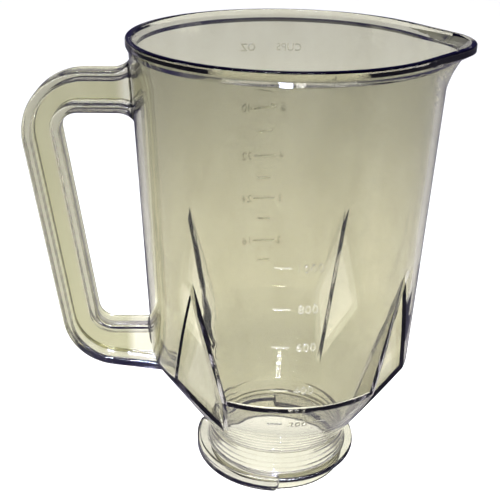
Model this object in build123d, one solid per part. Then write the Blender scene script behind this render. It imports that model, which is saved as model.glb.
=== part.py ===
from build123d import *
import math
import os

# A clear blender jar, moulded in one piece: a tapering round body with a pouring spout, an I-section handle,
# four V-shaped flutes pressed into the lower wall, a conical bottom and an open neck whose foot has a flange
# and two bayonet lugs. Millimetres, +Z up. The origin is on the jar's axis, at the underside of the foot.
# The handle points along -X and the spout, turned a little from the handle's plane, along +X.

# Body
HEIGHT = 200.0
WALL = 3.0
SHOULDER_RADIUS = 58.4
SHOULDER_HEIGHT = 60.5
SHOULDER_ROUND = 3.0
SHOULDER_ROUND_INSIDE = 2.0

# Rim: a thin lip that flares out from the wall, with a seat for the lid inside it
RIM_RADIUS = 65.0
RIM_FLARE = 1.2
LIP_HEIGHT = 5.6
LIP_BAND = 3.0
LIP_THICKNESS = 2.4
LID_SEAT_DEPTH = 3.4
LIP_ROUND = 0.7

# Spout
SPOUT_REACH = 8.8
SPOUT_DEPTH = 23.0
SPOUT_TIP_RADIUS = 30.0
SPOUT_SECTIONS = 8
SPOUT_ROOT_ANGLE = 3.0
SPOUT_TURN = -6.0

# Flutes: V grooves that start as a point on the wall and run out on the conical bottom. They stand at these
# angles round the axis, from the spout's side
FLUTE_PLACES = (-130.0, -37.5, 52.5, 138.0)
FLUTE_RISE = 48.5
FLUTE_DROP = 29.5
FLUTE_ANGLE = 110.0
FLUTE_ROUND = 0.8
FLUTE_RIDGE_ROUND = 0.6

# Neck and foot
NECK_RADIUS = 32.3
NECK_TOP = 20.5
NECK_ROUND = 4.0
NECK_ROUND_INSIDE = 1.5
FLANGE_RADIUS = 36.8
FLANGE_TOP = 10.0
FLANGE_THICKNESS = 2.4
FLANGE_FILLET = 1.2
SPIGOT_RADIUS = 31.8
FOOT_ROUND = 0.7
LUG_RADIUS = 38.2
LUG_BOTTOM = 3.6
LUG_ROUND = 2.5
LUG_EDGE = 1.6
FRONT_LUG_ARC = 110.0
FRONT_LUG_END = -91.0
BACK_LUG_ARC = 75.0
BACK_LUG_END = 89.0

# Handle: two rails joined by a thin web
HANDLE_BELOW_RIM = 14.0
HANDLE_TOP_REACH = 112.4
HANDLE_TOP_BEND = 27.0
HANDLE_LOW_REACH = 95.1
HANDLE_LOW_BEND = 25.0
HANDLE_LOW_DROP = 7.5
HANDLE_FOOT_DROP = 16.5
HANDLE_DEPTH = 11.0
HANDLE_WEB = 3.0
HANDLE_RAIL = 4.2
HANDLE_EDGE = 1.2
HANDLE_FLARE = 9.0
HANDLE_JOINT = 1.4
HANDLE_TOP_BAR = 17.2
GRIP_WIDTH = 16.2
HAND_HOLE_RISE = 10.8
HAND_HOLE_BEND = 7.5
HAND_HOLE_TOP_FLARE = 8.0
HAND_HOLE_LOW_FLARE = 3.0

# Cutting tools reach this far past the faces that they cut
OVERRUN = 6.0
# How near to the wall a joint's edges lie
JOINT_SLACK = 0.05

WALL_TOP_RADIUS = RIM_RADIUS - RIM_FLARE
SPOUT_ROOT = HEIGHT - SPOUT_DEPTH
LIP_BASE = HEIGHT - LIP_HEIGHT
LID_SEAT = HEIGHT - LID_SEAT_DEPTH
BORE_RADIUS = NECK_RADIUS - WALL
FLANGE_BOTTOM = FLANGE_TOP - FLANGE_THICKNESS
FLUTE_TOP = SHOULDER_HEIGHT + FLUTE_RISE
FLUTE_FOOT = SHOULDER_HEIGHT - FLUTE_DROP
HANDLE_TOP = HEIGHT - HANDLE_BELOW_RIM
HANDLE_LOW_CORNER = SHOULDER_HEIGHT - HANDLE_LOW_DROP
HANDLE_FOOT = SHOULDER_HEIGHT - HANDLE_FOOT_DROP
HAND_HOLE_TOP = HANDLE_TOP - HANDLE_TOP_BAR
HAND_HOLE_BOTTOM = SHOULDER_HEIGHT + HAND_HOLE_RISE
WALL_SLOPE = (WALL_TOP_RADIUS - SHOULDER_RADIUS) / (LIP_BASE - SHOULDER_HEIGHT)
CONE_SLOPE = (SHOULDER_RADIUS - NECK_RADIUS) / (SHOULDER_HEIGHT - NECK_TOP)
CONE_WALL = WALL * math.hypot(1, CONE_SLOPE)


def wall_radius(z):
    """Outer radius of the tapering side wall."""
    return SHOULDER_RADIUS + (z - SHOULDER_HEIGHT) * WALL_SLOPE


def cone_radius(z):
    """Outer radius of the conical bottom."""
    return NECK_RADIUS + (z - NECK_TOP) * CONE_SLOPE


def turned(points, radii):
    """A solid of revolution from (radius, height) points with rounded corners."""
    outline = FilletPolyline(*points, radius=radii, close=True)
    return revolve(make_face(Plane.XZ * outline), Axis.Z)


def lower_body():
    """Foot, neck, cone and wall up to the root of the spout, without the cavity."""
    points = [
        (0, 0),
        (SPIGOT_RADIUS, 0),
        (SPIGOT_RADIUS, FLANGE_BOTTOM),
        (FLANGE_RADIUS, FLANGE_BOTTOM),
        (FLANGE_RADIUS, FLANGE_TOP),
        (NECK_RADIUS, FLANGE_TOP),
        (NECK_RADIUS, NECK_TOP),
        (SHOULDER_RADIUS, SHOULDER_HEIGHT),
        (wall_radius(SPOUT_ROOT), SPOUT_ROOT),
        (0, SPOUT_ROOT),
    ]
    radii = [0, FOOT_ROUND, 0, FOOT_ROUND, FOOT_ROUND, FLANGE_FILLET, NECK_ROUND, SHOULDER_ROUND, 0, 0]
    return turned(points, radii)


def lower_cavity():
    """The hollow of the foot, neck, cone and wall, up to the root of the spout."""
    corner_rise = CONE_WALL - WALL
    neck_top = NECK_TOP + corner_rise / CONE_SLOPE
    shoulder = SHOULDER_HEIGHT + corner_rise / (CONE_SLOPE - WALL_SLOPE)
    points = [
        (0, -OVERRUN),
        (BORE_RADIUS, -OVERRUN),
        (BORE_RADIUS, neck_top),
        (wall_radius(shoulder) - WALL, shoulder),
        (wall_radius(SPOUT_ROOT) - WALL, SPOUT_ROOT),
        (0, SPOUT_ROOT),
    ]
    return turned(points, [0, 0, NECK_ROUND_INSIDE, SHOULDER_ROUND_INSIDE, 0, 0])


def on_circle(radius, angle):
    turn = math.radians(angle)
    return (radius * math.cos(turn), radius * math.sin(turn))


def root_section(radius, z):
    """A full circle in four arcs, matching the four edges of a spout section."""
    wide = SPOUT_ROOT_ANGLE
    narrow = wide / 2
    outline = [
        ThreePointArc(on_circle(radius, wide), (-radius, 0), on_circle(radius, -wide)),
        RadiusArc(on_circle(radius, -wide), on_circle(radius, -narrow), -radius),
        ThreePointArc(on_circle(radius, -narrow), (radius, 0), on_circle(radius, narrow)),
        RadiusArc(on_circle(radius, narrow), on_circle(radius, wide), -radius),
    ]
    return Plane.XY.offset(z) * Rot(0, 0, SPOUT_TURN) * make_face(outline)


def spout_section(radius, reach, inset, z):
    """The rim circle drawn out to the spout's tip by two straight flanks, moved in by the inset."""
    centre = radius + reach - SPOUT_TIP_RADIUS
    lean = math.degrees(math.acos((radius - SPOUT_TIP_RADIUS) / centre))
    round_in = radius - inset
    tip_in = SPOUT_TIP_RADIUS - inset
    tip_x, tip_y = on_circle(tip_in, lean)
    flank = on_circle(round_in, lean)
    far_flank = on_circle(round_in, -lean)
    tip = (centre + tip_x, tip_y)
    far_tip = (centre + tip_x, -tip_y)
    outline = [
        ThreePointArc(flank, (-round_in, 0), far_flank),
        Line(far_flank, far_tip),
        ThreePointArc(far_tip, (centre + tip_in, 0), tip),
        Line(tip, flank),
    ]
    return Plane.XY.offset(z) * Rot(0, 0, SPOUT_TURN) * make_face(outline)


def spout_reach(z):
    """How far the spout stands out from the wall, curving out from its root to the full reach at the rim."""
    rise = (z - SPOUT_ROOT) / SPOUT_DEPTH
    return SPOUT_REACH * rise * rise


def upper_part(inset, top):
    """The wall from the spout's root to the given height, moved in by the inset."""
    sections = [root_section(wall_radius(SPOUT_ROOT) - inset, SPOUT_ROOT)]
    for step in range(1, SPOUT_SECTIONS + 1):
        z = SPOUT_ROOT + (top - SPOUT_ROOT) * step / SPOUT_SECTIONS
        sections.append(spout_section(wall_radius(z), spout_reach(z), inset, z))
    return loft(sections)


def lip():
    """The flared lip around the mouth and spout, solid across."""
    sections = [
        spout_section(wall_radius(LIP_BASE), spout_reach(LIP_BASE), 0, LIP_BASE),
        spout_section(RIM_RADIUS, SPOUT_REACH, 0, HEIGHT - LIP_BAND),
        spout_section(RIM_RADIUS, SPOUT_REACH, 0, HEIGHT),
    ]
    return loft(sections, ruled=True)


def mouth():
    """The opening above the lid seat, widening to the thin lip."""
    sections = [
        spout_section(wall_radius(LID_SEAT), spout_reach(LID_SEAT), WALL, LID_SEAT),
        spout_section(RIM_RADIUS, SPOUT_REACH, LIP_THICKNESS, HEIGHT),
        spout_section(RIM_RADIUS, SPOUT_REACH, LIP_THICKNESS, HEIGHT + OVERRUN),
    ]
    return loft(sections, ruled=True)


def flutes(inset, edge_round):
    """V-shaped prisms whose edges run from the wall to the cone, moved in by the inset."""
    start = Vector(wall_radius(FLUTE_TOP), 0, FLUTE_TOP)
    end = Vector(cone_radius(FLUTE_FOOT), 0, FLUTE_FOOT)
    run = end - start
    along = run.normalized()
    outward = Vector(-along.Z, 0, along.X)
    half_angle = math.radians(FLUTE_ANGLE / 2)
    valley = -inset / math.sin(half_angle)
    reach = SHOULDER_RADIUS - NECK_RADIUS
    spread = (reach - valley) * math.tan(half_angle)
    head = FLUTE_TOP - FLUTE_FOOT
    section = make_face(
        FilletPolyline(
            (valley, 0),
            (reach, spread),
            (reach, -spread),
            radius=[edge_round, 0, 0],
            close=True,
        )
    )
    base = Plane(origin=start - along * head, x_dir=outward, z_dir=along)
    prism = extrude(base * section, head + run.length + OVERRUN)
    return [Rot(0, 0, place) * prism for place in FLUTE_PLACES]


def lug(arc, end):
    """A bayonet lug: a stretch of ring under the flange with rounded lower ends and a rounded lower edge."""
    root = (SPIGOT_RADIUS + BORE_RADIUS) / 2
    profile = make_face(
        Plane.XZ
        * FilletPolyline(
            (root, LUG_BOTTOM),
            (LUG_RADIUS, LUG_BOTTOM),
            (LUG_RADIUS, FLANGE_TOP - FOOT_ROUND),
            (root, FLANGE_TOP - FOOT_ROUND),
            radius=[0, LUG_EDGE, 0, 0],
            close=True,
        )
    )
    ring = revolve(profile, Axis.Z, revolution_arc=arc)
    bottom = ring.faces().sort_by(Axis.Z)[0]
    ends = bottom.edges().filter_by(GeomType.LINE)
    return Rot(0, 0, end - arc) * fillet(ends, LUG_ROUND)


def grip_x(z):
    """The handle's outer edge, leaning in towards the foot."""
    lean = (HANDLE_TOP_REACH - HANDLE_LOW_REACH) / (HANDLE_TOP - HANDLE_LOW_CORNER)
    return -HANDLE_TOP_REACH + (HANDLE_TOP - z) * lean


def handle():
    """A D-shaped bow of two rails and a web, running into the wall and the cone."""
    buried = BORE_RADIUS
    wall_x = WALL / 2 - wall_radius(HANDLE_TOP)
    flare_top = HANDLE_TOP + HANDLE_FLARE + WALL
    bow = make_face(
        FilletPolyline(
            (-buried, flare_top),
            (wall_x, flare_top),
            (wall_x, HANDLE_TOP),
            (grip_x(HANDLE_TOP), HANDLE_TOP),
            (grip_x(HANDLE_LOW_CORNER), HANDLE_LOW_CORNER),
            (-buried, HANDLE_FOOT),
            radius=[0, 0, HANDLE_FLARE, HANDLE_TOP_BEND, HANDLE_LOW_BEND, 0],
            close=True,
        )
    )
    hole = make_face(
        FilletPolyline(
            (WALL / 2 - wall_radius(HAND_HOLE_TOP), HAND_HOLE_TOP),
            (grip_x(HAND_HOLE_TOP) + GRIP_WIDTH, HAND_HOLE_TOP),
            (grip_x(HAND_HOLE_BOTTOM) + GRIP_WIDTH, HAND_HOLE_BOTTOM),
            (WALL / 2 - wall_radius(HAND_HOLE_BOTTOM), HAND_HOLE_BOTTOM),
            radius=[HAND_HOLE_TOP_FLARE, HAND_HOLE_BEND, HAND_HOLE_BEND, HAND_HOLE_LOW_FLARE],
            close=True,
        )
    )
    plate = extrude(Plane.XZ * (bow - hole), HANDLE_DEPTH / 2, both=True)
    pocket = Plane.XZ * (offset(bow, -HANDLE_RAIL) - offset(hole, HANDLE_RAIL))
    pocket_depth = (HANDLE_DEPTH - HANDLE_WEB) / 2
    for side in (-1, 1):
        floor = Pos(0, side * HANDLE_WEB / 2, 0) * pocket
        plate -= extrude(floor, pocket_depth + OVERRUN, dir=(0, side, 0))
    faces = plate.faces().filter_by(Axis.Y).sort_by(Axis.Y)
    flat = [f for f in faces if abs(abs(f.center().Y) - HANDLE_DEPTH / 2) < HANDLE_EDGE / 2]
    rims = [edge for face in flat for edge in face.edges()]
    return fillet(rims, HANDLE_EDGE)


def on_wall(edge):
    """Whether an edge lies on the side wall where the handle runs into it."""
    for place in (0.0, 0.5, 1.0):
        point = edge.position_at(place)
        off_wall = math.hypot(point.X, point.Y) - wall_radius(point.Z)
        if abs(off_wall) > JOINT_SLACK or abs(point.Y) > HANDLE_DEPTH / 2 + JOINT_SLACK or point.X > 0:
            return False
    return True


def jar():
    body = lower_body() + upper_part(0, LIP_BASE) + lip()
    body -= flutes(0, FLUTE_ROUND)
    body += handle()
    body = fillet(body.edges().filter_by(on_wall), HANDLE_JOINT)
    body += lug(FRONT_LUG_ARC, FRONT_LUG_END)
    body += lug(BACK_LUG_ARC, BACK_LUG_END)
    cavity = lower_cavity() + upper_part(WALL, LID_SEAT) + mouth()
    cavity -= flutes(WALL, FLUTE_RIDGE_ROUND)
    shell = body - cavity
    return fillet(shell.edges().group_by(Axis.Z)[-1], LIP_ROUND)


os.makedirs("parts", exist_ok=True)
export_step(jar(), "parts/jar.step")
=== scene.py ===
import math

import bmesh
import bpy
from mathutils import Matrix, Vector
from mathutils.bvhtree import BVHTree


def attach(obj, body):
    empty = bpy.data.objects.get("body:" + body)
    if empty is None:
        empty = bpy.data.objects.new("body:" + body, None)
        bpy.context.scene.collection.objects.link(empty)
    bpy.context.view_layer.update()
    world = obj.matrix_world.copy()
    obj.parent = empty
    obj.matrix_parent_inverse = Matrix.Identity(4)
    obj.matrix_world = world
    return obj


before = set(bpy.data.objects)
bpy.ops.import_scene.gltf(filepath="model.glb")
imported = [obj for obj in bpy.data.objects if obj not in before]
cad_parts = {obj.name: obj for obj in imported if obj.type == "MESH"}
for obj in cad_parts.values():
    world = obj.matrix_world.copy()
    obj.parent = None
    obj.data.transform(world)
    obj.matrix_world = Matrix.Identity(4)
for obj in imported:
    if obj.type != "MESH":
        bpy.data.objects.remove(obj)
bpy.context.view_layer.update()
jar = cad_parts["jar"]
scene = bpy.context.scene
MM = 0.001
TAU = 2.0 * math.pi

# camera of the photograph, in the part's own frame
CAMERA_AT = Vector((-26.43, -357.16, 267.37)) * MM
HEADING = math.radians(-1.968)
PITCH = math.radians(24.288)
ROLL = math.radians(0.964)
LENS = 64.0
SENSOR = 36.0

# outline of the jar's wall and cone, in metres
NECK_TOP, NECK_RADIUS = 0.0205, 0.0323
SHOULDER, SHOULDER_RADIUS = 0.0605, 0.0584
WALL_TOP, WALL_TOP_RADIUS = 0.1950, 0.0630

# the plastic: tints where its flow marks are pale and where they are deep, and heights of its marks in metres;
# the neck's tint is painted shadow, the rim's and the web's are painted shade, and the flutes' is painted
# highlight
PLASTIC_IOR = 1.57
FLOW_PALE, FLOW_DEEP = 0.34, 0.66
WALL_TINT = ((0.735, 0.72, 0.565), (0.64, 0.625, 0.475))
UPPER_WALL_PAINTED_SHADE_TINT = ((0.60, 0.59, 0.47), (0.53, 0.52, 0.40))
WEB_PAINTED_SHADE_TINT = ((0.44, 0.43, 0.27), (0.38, 0.37, 0.22))
RAIL_TINT = ((0.57, 0.565, 0.395), (0.51, 0.505, 0.34))
NECK_PAINTED_SHADOW_TINT = ((0.56, 0.55, 0.44), (0.49, 0.48, 0.37))
FLUTE_PAINTED_HIGHLIGHT_TINT = ((0.90, 0.89, 0.78), (0.82, 0.81, 0.69))
WAVE_HEIGHT = 0.00009
RING_HEIGHT = 0.00007
RING_PITCH = 0.0029

# the raised scale: height above and below the wall, a tick's width, its facets and how slim its ends get,
# the share of a font's size that a capital takes, the letters' spacing, and how far out the wall is looked for
RELIEF = 0.42 * MM
SUNK = 0.12 * MM
TICK = 0.75 * MM
BAR_STEPS = 12
BAR_SIDES = 6
BAR_TIP = 0.12
CAPITAL_SHARE = 0.70
LETTER_SPACE = 1.08
RAY_START = 0.3

# heights between which the frosting of the near marks changes, a painted highlight that whitens them: above
# the cone, at the middle, at the top
FROST_STARTS = (0.056, 0.062)
FROST_DEEPENS = (0.080, 0.086)
FROST_EASES = (0.114, 0.119)

# the stage
FLOOR_HALF = 2.1
FLOOR_CELLS = 8
AIM = (0.0, 0.0, 0.1)


# nodes

def new_tree(name):
    """A material with its node tree emptied, and the tree."""
    mat = bpy.data.materials.new(name)
    mat.use_nodes = True
    mat.node_tree.nodes.clear()
    return mat, mat.node_tree


def add(tree, kind, **settings):
    """A new node. A setting named like a socket sets that socket, any other one sets the node."""
    node = tree.nodes.new(kind)
    for key, value in settings.items():
        if key in node.inputs:
            node.inputs[key].default_value = value
        else:
            setattr(node, key, value)
    return node


def math_node(tree, operation, a, b=None):
    """A Math node on sockets or numbers."""
    node = tree.nodes.new("ShaderNodeMath")
    node.operation = operation
    for socket, value in zip(node.inputs, (a, b)):
        if value is None:
            continue
        if isinstance(value, (int, float)):
            socket.default_value = value
        else:
            tree.links.new(value, socket)
    return node.outputs[0]


def noise(tree, vector, scale, detail=3.0, rough=0.55):
    node = add(tree, "ShaderNodeTexNoise", Scale=scale, Detail=detail, Roughness=rough)
    tree.links.new(vector, node.inputs["Vector"])
    return node.outputs["Fac"]


def ramp(tree, fac, stops):
    node = tree.nodes.new("ShaderNodeValToRGB")
    marks = node.color_ramp.elements
    while len(marks) < len(stops):
        marks.new(0.5)
    for mark, (at, colour) in zip(marks, stops):
        mark.position = at
        mark.color = (*colour, 1.0)
    tree.links.new(fac, node.inputs["Fac"])
    return node.outputs["Color"]


def spread(tree, value, low, high, to_low, to_high):
    node = add(tree, "ShaderNodeMapRange", clamp=True)
    tree.links.new(value, node.inputs["Value"])
    for key, number in (("From Min", low), ("From Max", high), ("To Min", to_low), ("To Max", to_high)):
        node.inputs[key].default_value = number
    return node.outputs["Result"]


def blend(tree, fac, a, b):
    node = tree.nodes.new("ShaderNodeMix")
    node.data_type = "RGBA"
    for socket, value in zip((node.inputs[0], node.inputs[6], node.inputs[7]), (fac, a, b)):
        tree.links.new(value, socket)
    return node.outputs[2]


def scaled(tree, vector, by):
    node = add(tree, "ShaderNodeMapping")
    node.inputs["Scale"].default_value = by
    tree.links.new(vector, node.inputs["Vector"])
    return node.outputs["Vector"]


def clear_plastic():
    """Clear tinted moulding.

    It has flow marks in the tint, painted shadow at the neck, painted shade towards the rim and on the
    handle's web, a painted highlight on the flutes, fine scuffs, slow waves and the rings of the turned mould.
    """
    mat, tree = new_tree("jar_clear_plastic")
    link = tree.links.new
    coords = add(tree, "ShaderNodeTexCoord")
    place = coords.outputs["Object"]
    spot = tree.nodes.new("ShaderNodeSeparateXYZ")
    link(place, spot.inputs[0])
    x, y, z = (spot.outputs[axis] for axis in "XYZ")

    flow = noise(tree, scaled(tree, place, (1.0, 1.0, 0.35)), 26.0, 6.0, 0.68)

    def tinted(tints):
        pale, deep = tints
        return ramp(tree, flow, [(FLOW_PALE, pale), (FLOW_DEEP, deep)])

    # painted shadow: the plastic is tinted darker at the neck and the foot of the cone, for the jar's own
    # shadow on the floor seen through it
    tint = blend(tree, spread(tree, z, 0.040, 0.065, 0.0, 1.0), tinted(NECK_PAINTED_SHADOW_TINT), tinted(WALL_TINT))
    # painted shade: the wall is tinted darker towards the rim, for the darker room seen through it
    tint = blend(tree, spread(tree, z, 0.110, 0.180, 0.0, 1.0), tint, tinted(UPPER_WALL_PAINTED_SHADE_TINT))

    # painted shade: the handle's web, whose faces look along Y, is one sheet set back between the rails and is
    # tinted darker than them
    facing = tree.nodes.new("ShaderNodeSeparateXYZ")
    link(coords.outputs["Normal"], facing.inputs[0])
    flat = spread(tree, math_node(tree, "ABSOLUTE", facing.outputs["Y"]), 0.93, 0.98, 0.0, 1.0)
    inner = spread(tree, math_node(tree, "ABSOLUTE", y), 0.0025, 0.0032, 1.0, 0.0)
    web_shade_mask = math_node(tree, "MULTIPLY", flat, inner)
    rail_tint_and_web_shade = blend(tree, web_shade_mask, tinted(RAIL_TINT), tinted(WEB_PAINTED_SHADE_TINT))
    tint = blend(tree, spread(tree, x, -0.070, -0.066, 1.0, 0.0), tint, rail_tint_and_web_shade)

    # painted highlight: the pressed-in flutes are tinted lighter than the wall and the cone round them
    squares = [math_node(tree, "POWER", across, 2.0) for across in (x, y)]
    radius = math_node(tree, "SQRT", math_node(tree, "ADD", *squares))
    wall_line = spread(tree, z, SHOULDER, WALL_TOP, SHOULDER_RADIUS, WALL_TOP_RADIUS)
    cone_line = spread(tree, z, NECK_TOP, SHOULDER, NECK_RADIUS, SHOULDER_RADIUS)
    flute_highlight_depth = math_node(tree, "SUBTRACT", math_node(tree, "MINIMUM", wall_line, cone_line), radius)
    tint = blend(tree, spread(tree, flute_highlight_depth, 0.0038, 0.0044, 0.0, 1.0), tint, tinted(FLUTE_PAINTED_HIGHLIGHT_TINT))

    scuffs = noise(tree, scaled(tree, place, (1.0, 1.0, 0.06)), 1500.0, 4.0, 0.7)
    marks = spread(tree, scuffs, 0.62, 0.80, 0.0, 0.12)
    haze = spread(tree, noise(tree, place, 60.0, 4.0), 0.45, 0.75, 0.015, 0.035)
    rough = math_node(tree, "ADD", marks, haze)

    swell = noise(tree, scaled(tree, place, (1.0, 1.0, 0.4)), 38.0, 1.5)
    waves = math_node(tree, "MULTIPLY", swell, WAVE_HEIGHT)
    wander = math_node(tree, "MULTIPLY", noise(tree, place, 30.0, 1.0), 2.0)
    climb = math_node(tree, "MULTIPLY", z, TAU / RING_PITCH)
    turned = math_node(tree, "SINE", math_node(tree, "ADD", wander, climb))
    near_neck = spread(tree, z, 0.014, 0.042, RING_HEIGHT, 0.0)
    rings = math_node(tree, "MULTIPLY", turned, near_neck)
    bump = add(tree, "ShaderNodeBump", Strength=1.0, Distance=1.0)
    link(math_node(tree, "ADD", waves, rings), bump.inputs["Height"])

    body = add(tree, "ShaderNodeBsdfPrincipled", IOR=PLASTIC_IOR)
    body.inputs["Transmission Weight"].default_value = 1.0
    body.inputs["Specular Tint"].default_value = (0.8, 0.8, 0.9, 1.0)
    link(tint, body.inputs["Base Color"])
    link(rough, body.inputs["Roughness"])
    link(bump.outputs["Normal"], body.inputs["Normal"])

    depth = add(tree, "ShaderNodeVolumeAbsorption", Density=60.0, Color=(0.48, 0.46, 0.58, 1.0))
    out = add(tree, "ShaderNodeOutputMaterial")
    link(body.outputs["BSDF"], out.inputs["Surface"])
    link(depth.outputs["Volume"], out.inputs["Volume"])
    return mat


def raised_plastic(name, gloss, frosted):
    """The moulded scale: the same plastic with the eroded satin of raised marks, and frosting where asked,
    whose share changes with height to paint the marks' highlight.
    """
    mat, tree = new_tree(name)
    link = tree.links.new
    place = add(tree, "ShaderNodeTexCoord").outputs["Object"]
    grain = noise(tree, place, 2600.0, 3.0)
    tint = ramp(tree, noise(tree, place, 400.0), [(0.3, (0.86, 0.85, 0.76)), (0.7, (0.78, 0.77, 0.66))])
    bump = add(tree, "ShaderNodeBump", Strength=0.5, Distance=0.00006)
    link(grain, bump.inputs["Height"])
    body = add(tree, "ShaderNodeBsdfPrincipled", IOR=PLASTIC_IOR)
    body.inputs["Transmission Weight"].default_value = 1.0
    body.inputs["Specular Tint"].default_value = (gloss, gloss, gloss, 1.0)
    link(tint, body.inputs["Base Color"])
    link(spread(tree, grain, 0.3, 0.7, 0.16, 0.28), body.inputs["Roughness"])
    if frosted:
        # painted highlight: the whitening frost is none on the cone, most at the middle marks, and little on
        # the figures of the top one
        spot = tree.nodes.new("ShaderNodeSeparateXYZ")
        link(place, spot.inputs[0])
        z = spot.outputs["Z"]
        above = spread(tree, z, *FROST_STARTS, 1.0, 0.91)
        deeper = spread(tree, z, *FROST_DEEPENS, 0.0, -0.05)
        eased = spread(tree, z, *FROST_EASES, 0.0, 0.05)
        middle = math_node(tree, "ADD", deeper, eased)
        figures = spread(tree, spot.outputs["X"], 0.0, 0.001, 0.0, 1.0)
        top_figures_less_painted_highlight = math_node(tree, "MULTIPLY", spread(tree, z, *FROST_EASES, 0.0, 0.07), figures)
        clear = math_node(tree, "ADD", math_node(tree, "ADD", above, middle), top_figures_less_painted_highlight)
        link(clear, body.inputs["Transmission Weight"])
    link(bump.outputs["Normal"], body.inputs["Normal"])
    out = add(tree, "ShaderNodeOutputMaterial")
    link(body.outputs["BSDF"], out.inputs["Surface"])
    return mat


def floor_paper(name, dark, pale):
    """Matt paper with a faint mottle."""
    mat, tree = new_tree(name)
    link = tree.links.new
    place = add(tree, "ShaderNodeTexCoord").outputs["Object"]
    tone = ramp(tree, noise(tree, place, 9.0, 5.0), [(0.35, dark), (0.65, pale)])
    bump = add(tree, "ShaderNodeBump", Strength=0.15, Distance=0.0002)
    link(noise(tree, place, 900.0, 2.0), bump.inputs["Height"])
    body = add(tree, "ShaderNodeBsdfPrincipled", Roughness=0.85)
    body.inputs["Specular IOR Level"].default_value = 0.1
    link(tone, body.inputs["Base Color"])
    link(bump.outputs["Normal"], body.inputs["Normal"])
    out = add(tree, "ShaderNodeOutputMaterial")
    link(body.outputs["BSDF"], out.inputs["Surface"])
    return mat


# pieces

def linked(name, mesh, mat):
    obj = bpy.data.objects.new(name, mesh)
    mesh.materials.append(mat)
    scene.collection.objects.link(obj)
    return obj


class Wall:
    """Finds the jar's outer wall, for marks that lie on it."""

    def __init__(self, obj):
        self.tree = BVHTree.FromObject(obj, bpy.context.evaluated_depsgraph_get())

    def point(self, angle, z, lift):
        """Point at an angle round the axis and a height, lifted off the wall."""
        out = Vector((math.cos(angle), math.sin(angle), 0.0))
        hit, normal, _, _ = self.tree.ray_cast(out * RAY_START + Vector((0.0, 0.0, z)), -out)
        return hit + normal * lift


def bar(bm, wall, middle, z, length, width):
    """A raised tick with a rounded back and rounded ends, along the wall at one height."""
    r = wall.point(middle, z, 0.0).xy.length
    half = 0.5 * length / r
    end = width / length
    rows = []
    for i in range(BAR_STEPS + 1):
        t = -math.cos(math.pi * i / BAR_STEPS)
        edge = (1.0 - abs(t)) / end
        full = 1.0 if edge >= 1.0 else math.sqrt(max(0.0, 1.0 - (1.0 - edge) ** 2))
        full = max(full, BAR_TIP)
        row = []
        for j in range(BAR_SIDES + 1):
            turn = math.pi * j / BAR_SIDES
            up = 0.5 * width * full * math.cos(turn)
            lift = RELIEF * full * math.sin(turn)
            row.append(bm.verts.new(wall.point(middle + half * t, z + up, lift)))
        row.append(bm.verts.new(wall.point(middle + half * t, z - 0.5 * width * full, -SUNK)))
        row.append(bm.verts.new(wall.point(middle + half * t, z + 0.5 * width * full, -SUNK)))
        rows.append(row)
    count = len(rows[0])
    for a, b in zip(rows, rows[1:]):
        for j in range(count):
            k = (j + 1) % count
            bm.faces.new((a[j], a[k], b[k], b[j]))
    bm.faces.new(rows[0][::-1])
    bm.faces.new(rows[-1])


def words(bm, wall, text, middle, z, tall):
    """Raised figures on the wall, read from outside."""
    curve = bpy.data.curves.new("figures", "FONT")
    curve.body = text
    curve.size = tall / CAPITAL_SHARE
    curve.align_x = "CENTER"
    curve.space_character = LETTER_SPACE
    curve.resolution_u = 3
    obj = bpy.data.objects.new("figures", curve)
    scene.collection.objects.link(obj)
    bpy.context.view_layer.update()
    flat = bpy.data.meshes.new_from_object(obj.evaluated_get(bpy.context.evaluated_depsgraph_get()))
    bpy.data.objects.remove(obj)
    bpy.data.curves.remove(curve)
    part = bmesh.new()
    part.from_mesh(flat)
    bpy.data.meshes.remove(flat)
    bmesh.ops.remove_doubles(part, verts=part.verts, dist=1e-7)
    r = wall.point(middle, z, 0.0).xy.length
    base = list(part.verts)
    grown = bmesh.ops.extrude_face_region(part, geom=list(part.faces), use_keep_orig=True)
    tops = {v for v in grown["geom"] if isinstance(v, bmesh.types.BMVert)}
    for v in base + list(tops):
        lift = RELIEF if v in tops else -SUNK
        v.co = wall.point(middle + v.co.x / r, z + v.co.y - 0.5 * tall, lift)
    bmesh.ops.recalc_face_normals(part, faces=part.faces)
    step = bpy.data.meshes.new("figures")
    part.to_mesh(step)
    part.free()
    bm.from_mesh(step)
    bpy.data.meshes.remove(step)


def scale_piece(name, build, mat):
    bm = bmesh.new()
    build(bm)
    bmesh.ops.recalc_face_normals(bm, faces=bm.faces)
    mesh = bpy.data.meshes.new(name)
    bm.to_mesh(mesh)
    bm.free()
    obj = linked(name, mesh, mat)
    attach(obj, "root")
    return obj


wall = Wall(jar)
deg = math.radians


def back_scale(bm):
    """Cups and fluid ounces on the far side, read from behind the jar."""
    column = deg(95.6)
    for z, cups, ounces in ((154.4, "5", "40"), (130.6, "4", "32"), (108.7, "3", "24"), (86.2, "2", "16")):
        bar(bm, wall, column, z * MM, 11.2 * MM, TICK)
        words(bm, wall, cups, deg(87.6), z * MM, 3.8 * MM)
        words(bm, wall, ounces, deg(104.0), z * MM, 3.8 * MM)
    for z in (163.1, 142.6, 119.3, 98.0, 75.7):
        bar(bm, wall, column, z * MM, 6.4 * MM, TICK)
    words(bm, wall, "CUPS", deg(85.7), 182.8 * MM, 3.4 * MM)
    words(bm, wall, "OZ", deg(103.5), 182.8 * MM, 3.4 * MM)


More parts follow.
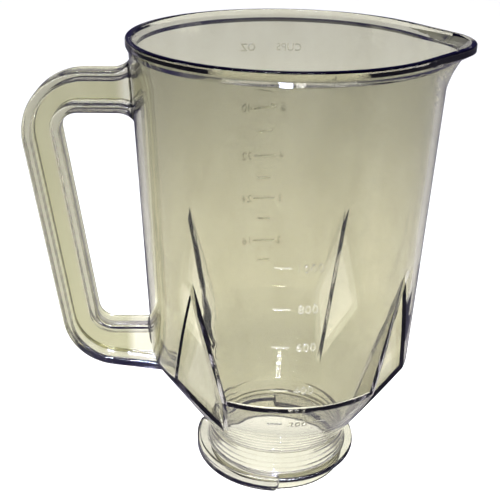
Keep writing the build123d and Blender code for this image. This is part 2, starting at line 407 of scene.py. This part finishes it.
def front_scale(bm):
    """Millilitres on the near side."""
    column = deg(-93.7)
    for z, label in ((126.1, "1000"), (108.5, "800"), (91.5, "600"), (71.3, "400")):
        bar(bm, wall, column, z * MM, 7.0 * MM, TICK)
        words(bm, wall, label, deg(-84.1), z * MM, 3.6 * MM)
    bar(bm, wall, deg(-95.1), 50.6 * MM, 6.2 * MM, TICK)
    words(bm, wall, "200", deg(-84.4), 50.2 * MM, 3.6 * MM)
    bar(bm, wall, deg(-74.7), 51.1 * MM, 5.5 * MM, TICK)


plastic = clear_plastic()
jar.data.materials.clear()
jar.data.materials.append(plastic)
jar.visible_shadow = False

for name, build, gloss, frosted in (("scale_cups", back_scale, 0.1, False),
                                    ("scale_ml", front_scale, 0.4, True)):
    marks = scale_piece(name, build, raised_plastic(name + "_plastic", gloss, frosted))
    marks.visible_shadow = False


# stage, light and camera

def floor(name, drop, mat):
    """A sheet under the jar, just below its foot."""
    bm = bmesh.new()
    bmesh.ops.create_grid(bm, x_segments=FLOOR_CELLS, y_segments=FLOOR_CELLS, size=FLOOR_HALF)
    mesh = bpy.data.meshes.new(name)
    bm.to_mesh(mesh)
    bm.free()
    obj = linked(name, mesh, mat)
    obj.location.z = -drop
    return obj


def aimed(obj, at, target):
    obj.location = at
    obj.rotation_euler = (Vector(target) - Vector(at)).to_track_quat("-Z", "Y").to_euler()


def sun(name, at, energy, angle):
    """A broad sun that lights the floor and isn't mirrored or seen through the plastic."""
    lamp = bpy.data.lights.new(name, "SUN")
    lamp.energy = energy
    lamp.angle = math.radians(angle)
    obj = bpy.data.objects.new(name, lamp)
    scene.collection.objects.link(obj)
    obj.visible_glossy = False
    obj.visible_transmission = False
    aimed(obj, at, AIM)


def panel(name, at, target, size, power, lights="gloss", colour=(1.0, 1.0, 1.0)):
    """A soft light that either lights the floor or shows in the gloss and the edges of the plastic."""
    lamp = bpy.data.lights.new(name, "AREA")
    lamp.shape = "RECTANGLE"
    lamp.size, lamp.size_y = size
    lamp.energy = power
    lamp.color = colour
    obj = bpy.data.objects.new(name, lamp)
    scene.collection.objects.link(obj)
    obj.visible_diffuse = lights == "diffuse"
    obj.visible_glossy = obj.visible_transmission = lights == "gloss"
    aimed(obj, at, target)


def room():
    """Pale round the horizon and dark overhead, so that edges of the clear plastic draw dark lines."""
    world = bpy.data.worlds.new("room")
    scene.world = world
    world.use_nodes = True
    tree = world.node_tree
    tree.nodes.clear()
    link = tree.links.new
    way = add(tree, "ShaderNodeTexCoord").outputs["Generated"]
    split = tree.nodes.new("ShaderNodeSeparateXYZ")
    link(way, split.inputs[0])
    rise = spread(tree, split.outputs["Z"], -1.0, 1.0, 0.0, 1.0)
    sky = ramp(tree, rise, [(0.0, (0.5, 0.5, 0.47)), (0.50, (0.4, 0.4, 0.37)),
                            (0.54, (0.030, 0.027, 0.10)), (1.0, (0.012, 0.010, 0.09))])
    back = add(tree, "ShaderNodeBackground", Strength=1.0)
    link(sky, back.inputs["Color"])
    pale = add(tree, "ShaderNodeBackground", Strength=1.0, Color=(0.95, 0.95, 0.95, 1.0))
    pick = tree.nodes.new("ShaderNodeMixShader")
    link(add(tree, "ShaderNodeLightPath").outputs["Is Camera Ray"], pick.inputs[0])
    link(back.outputs["Background"], pick.inputs[1])
    link(pale.outputs["Background"], pick.inputs[2])
    out = add(tree, "ShaderNodeOutputWorld")
    link(pick.outputs[0], out.inputs["Surface"])


def camera():
    level = math.cos(PITCH)
    fwd = Vector((-math.sin(HEADING) * level, math.cos(HEADING) * level, -math.sin(PITCH)))
    right = Vector((math.cos(HEADING), math.sin(HEADING), 0.0))
    up = right.cross(fwd)
    side = math.cos(ROLL) * right + math.sin(ROLL) * up
    top = -math.sin(ROLL) * right + math.cos(ROLL) * up
    data = bpy.data.cameras.new("camera")
    data.lens = LENS
    data.sensor_width = SENSOR
    data.clip_start = 0.01
    obj = bpy.data.objects.new("camera", data)
    scene.collection.objects.link(obj)
    turn = Matrix((side, top, -fwd)).transposed()
    obj.matrix_world = Matrix.Translation(CAMERA_AT) @ turn.to_4x4()
    scene.camera = obj


# the sheet that is seen, and a darker one under it that only the gloss of the plastic mirrors
paper = floor_paper("floor_paper", (0.89, 0.89, 0.885), (0.91, 0.91, 0.905))
seen = floor("floor", 0.2 * MM, paper)
seen.visible_glossy = False
seen.visible_shadow = False
dark_paper = floor_paper("floor_grey", (0.060, 0.056, 0.085), (0.075, 0.070, 0.10))
mirrored = floor("floor_mirrored", 0.4 * MM, dark_paper)
for way in ("camera", "diffuse", "transmission", "volume_scatter", "shadow"):
    setattr(mirrored, "visible_" + way, False)
room()
camera()
sun("fill", (-0.5, -0.9, 1.6), 4.0, 25.0)
panel("key", (0.1, -0.6, 0.7), (0.0, 0.0, 0.0), (0.4, 0.4), 15.0, lights="diffuse")
panel("flash", (-0.03, -0.36, 0.24), AIM, (0.05, 0.05), 1.8, colour=(0.58, 0.64, 1.0))
panel("front", (0.1, -1.4, 0.5), AIM, (0.12, 0.3), 4.0)
panel("strip", (0.0, -1.4, 0.5), AIM, (4.0, 0.3), 40.0)
panel("ceiling", (0.0, 0.2, 1.5), AIM, (1.2, 0.05), 6.0)
panel("left", (-1.5, -0.3, 0.3), AIM, (0.4, 0.8), 2.0)
panel("right", (1.5, -0.1, 0.3), AIM, (0.7, 0.8), 6.0)

scene.view_settings.view_transform = "Standard"
scene.view_settings.look = "None"
scene.cycles.caustics_reflective = False
scene.cycles.caustics_refractive = False
scene.cycles.sample_clamp_indirect = 60.0
scene.cycles.max_bounces = 24
scene.cycles.transmission_bounces = 24
scene.cycles.glossy_bounces = 8
scene.cycles.transparent_max_bounces = 16
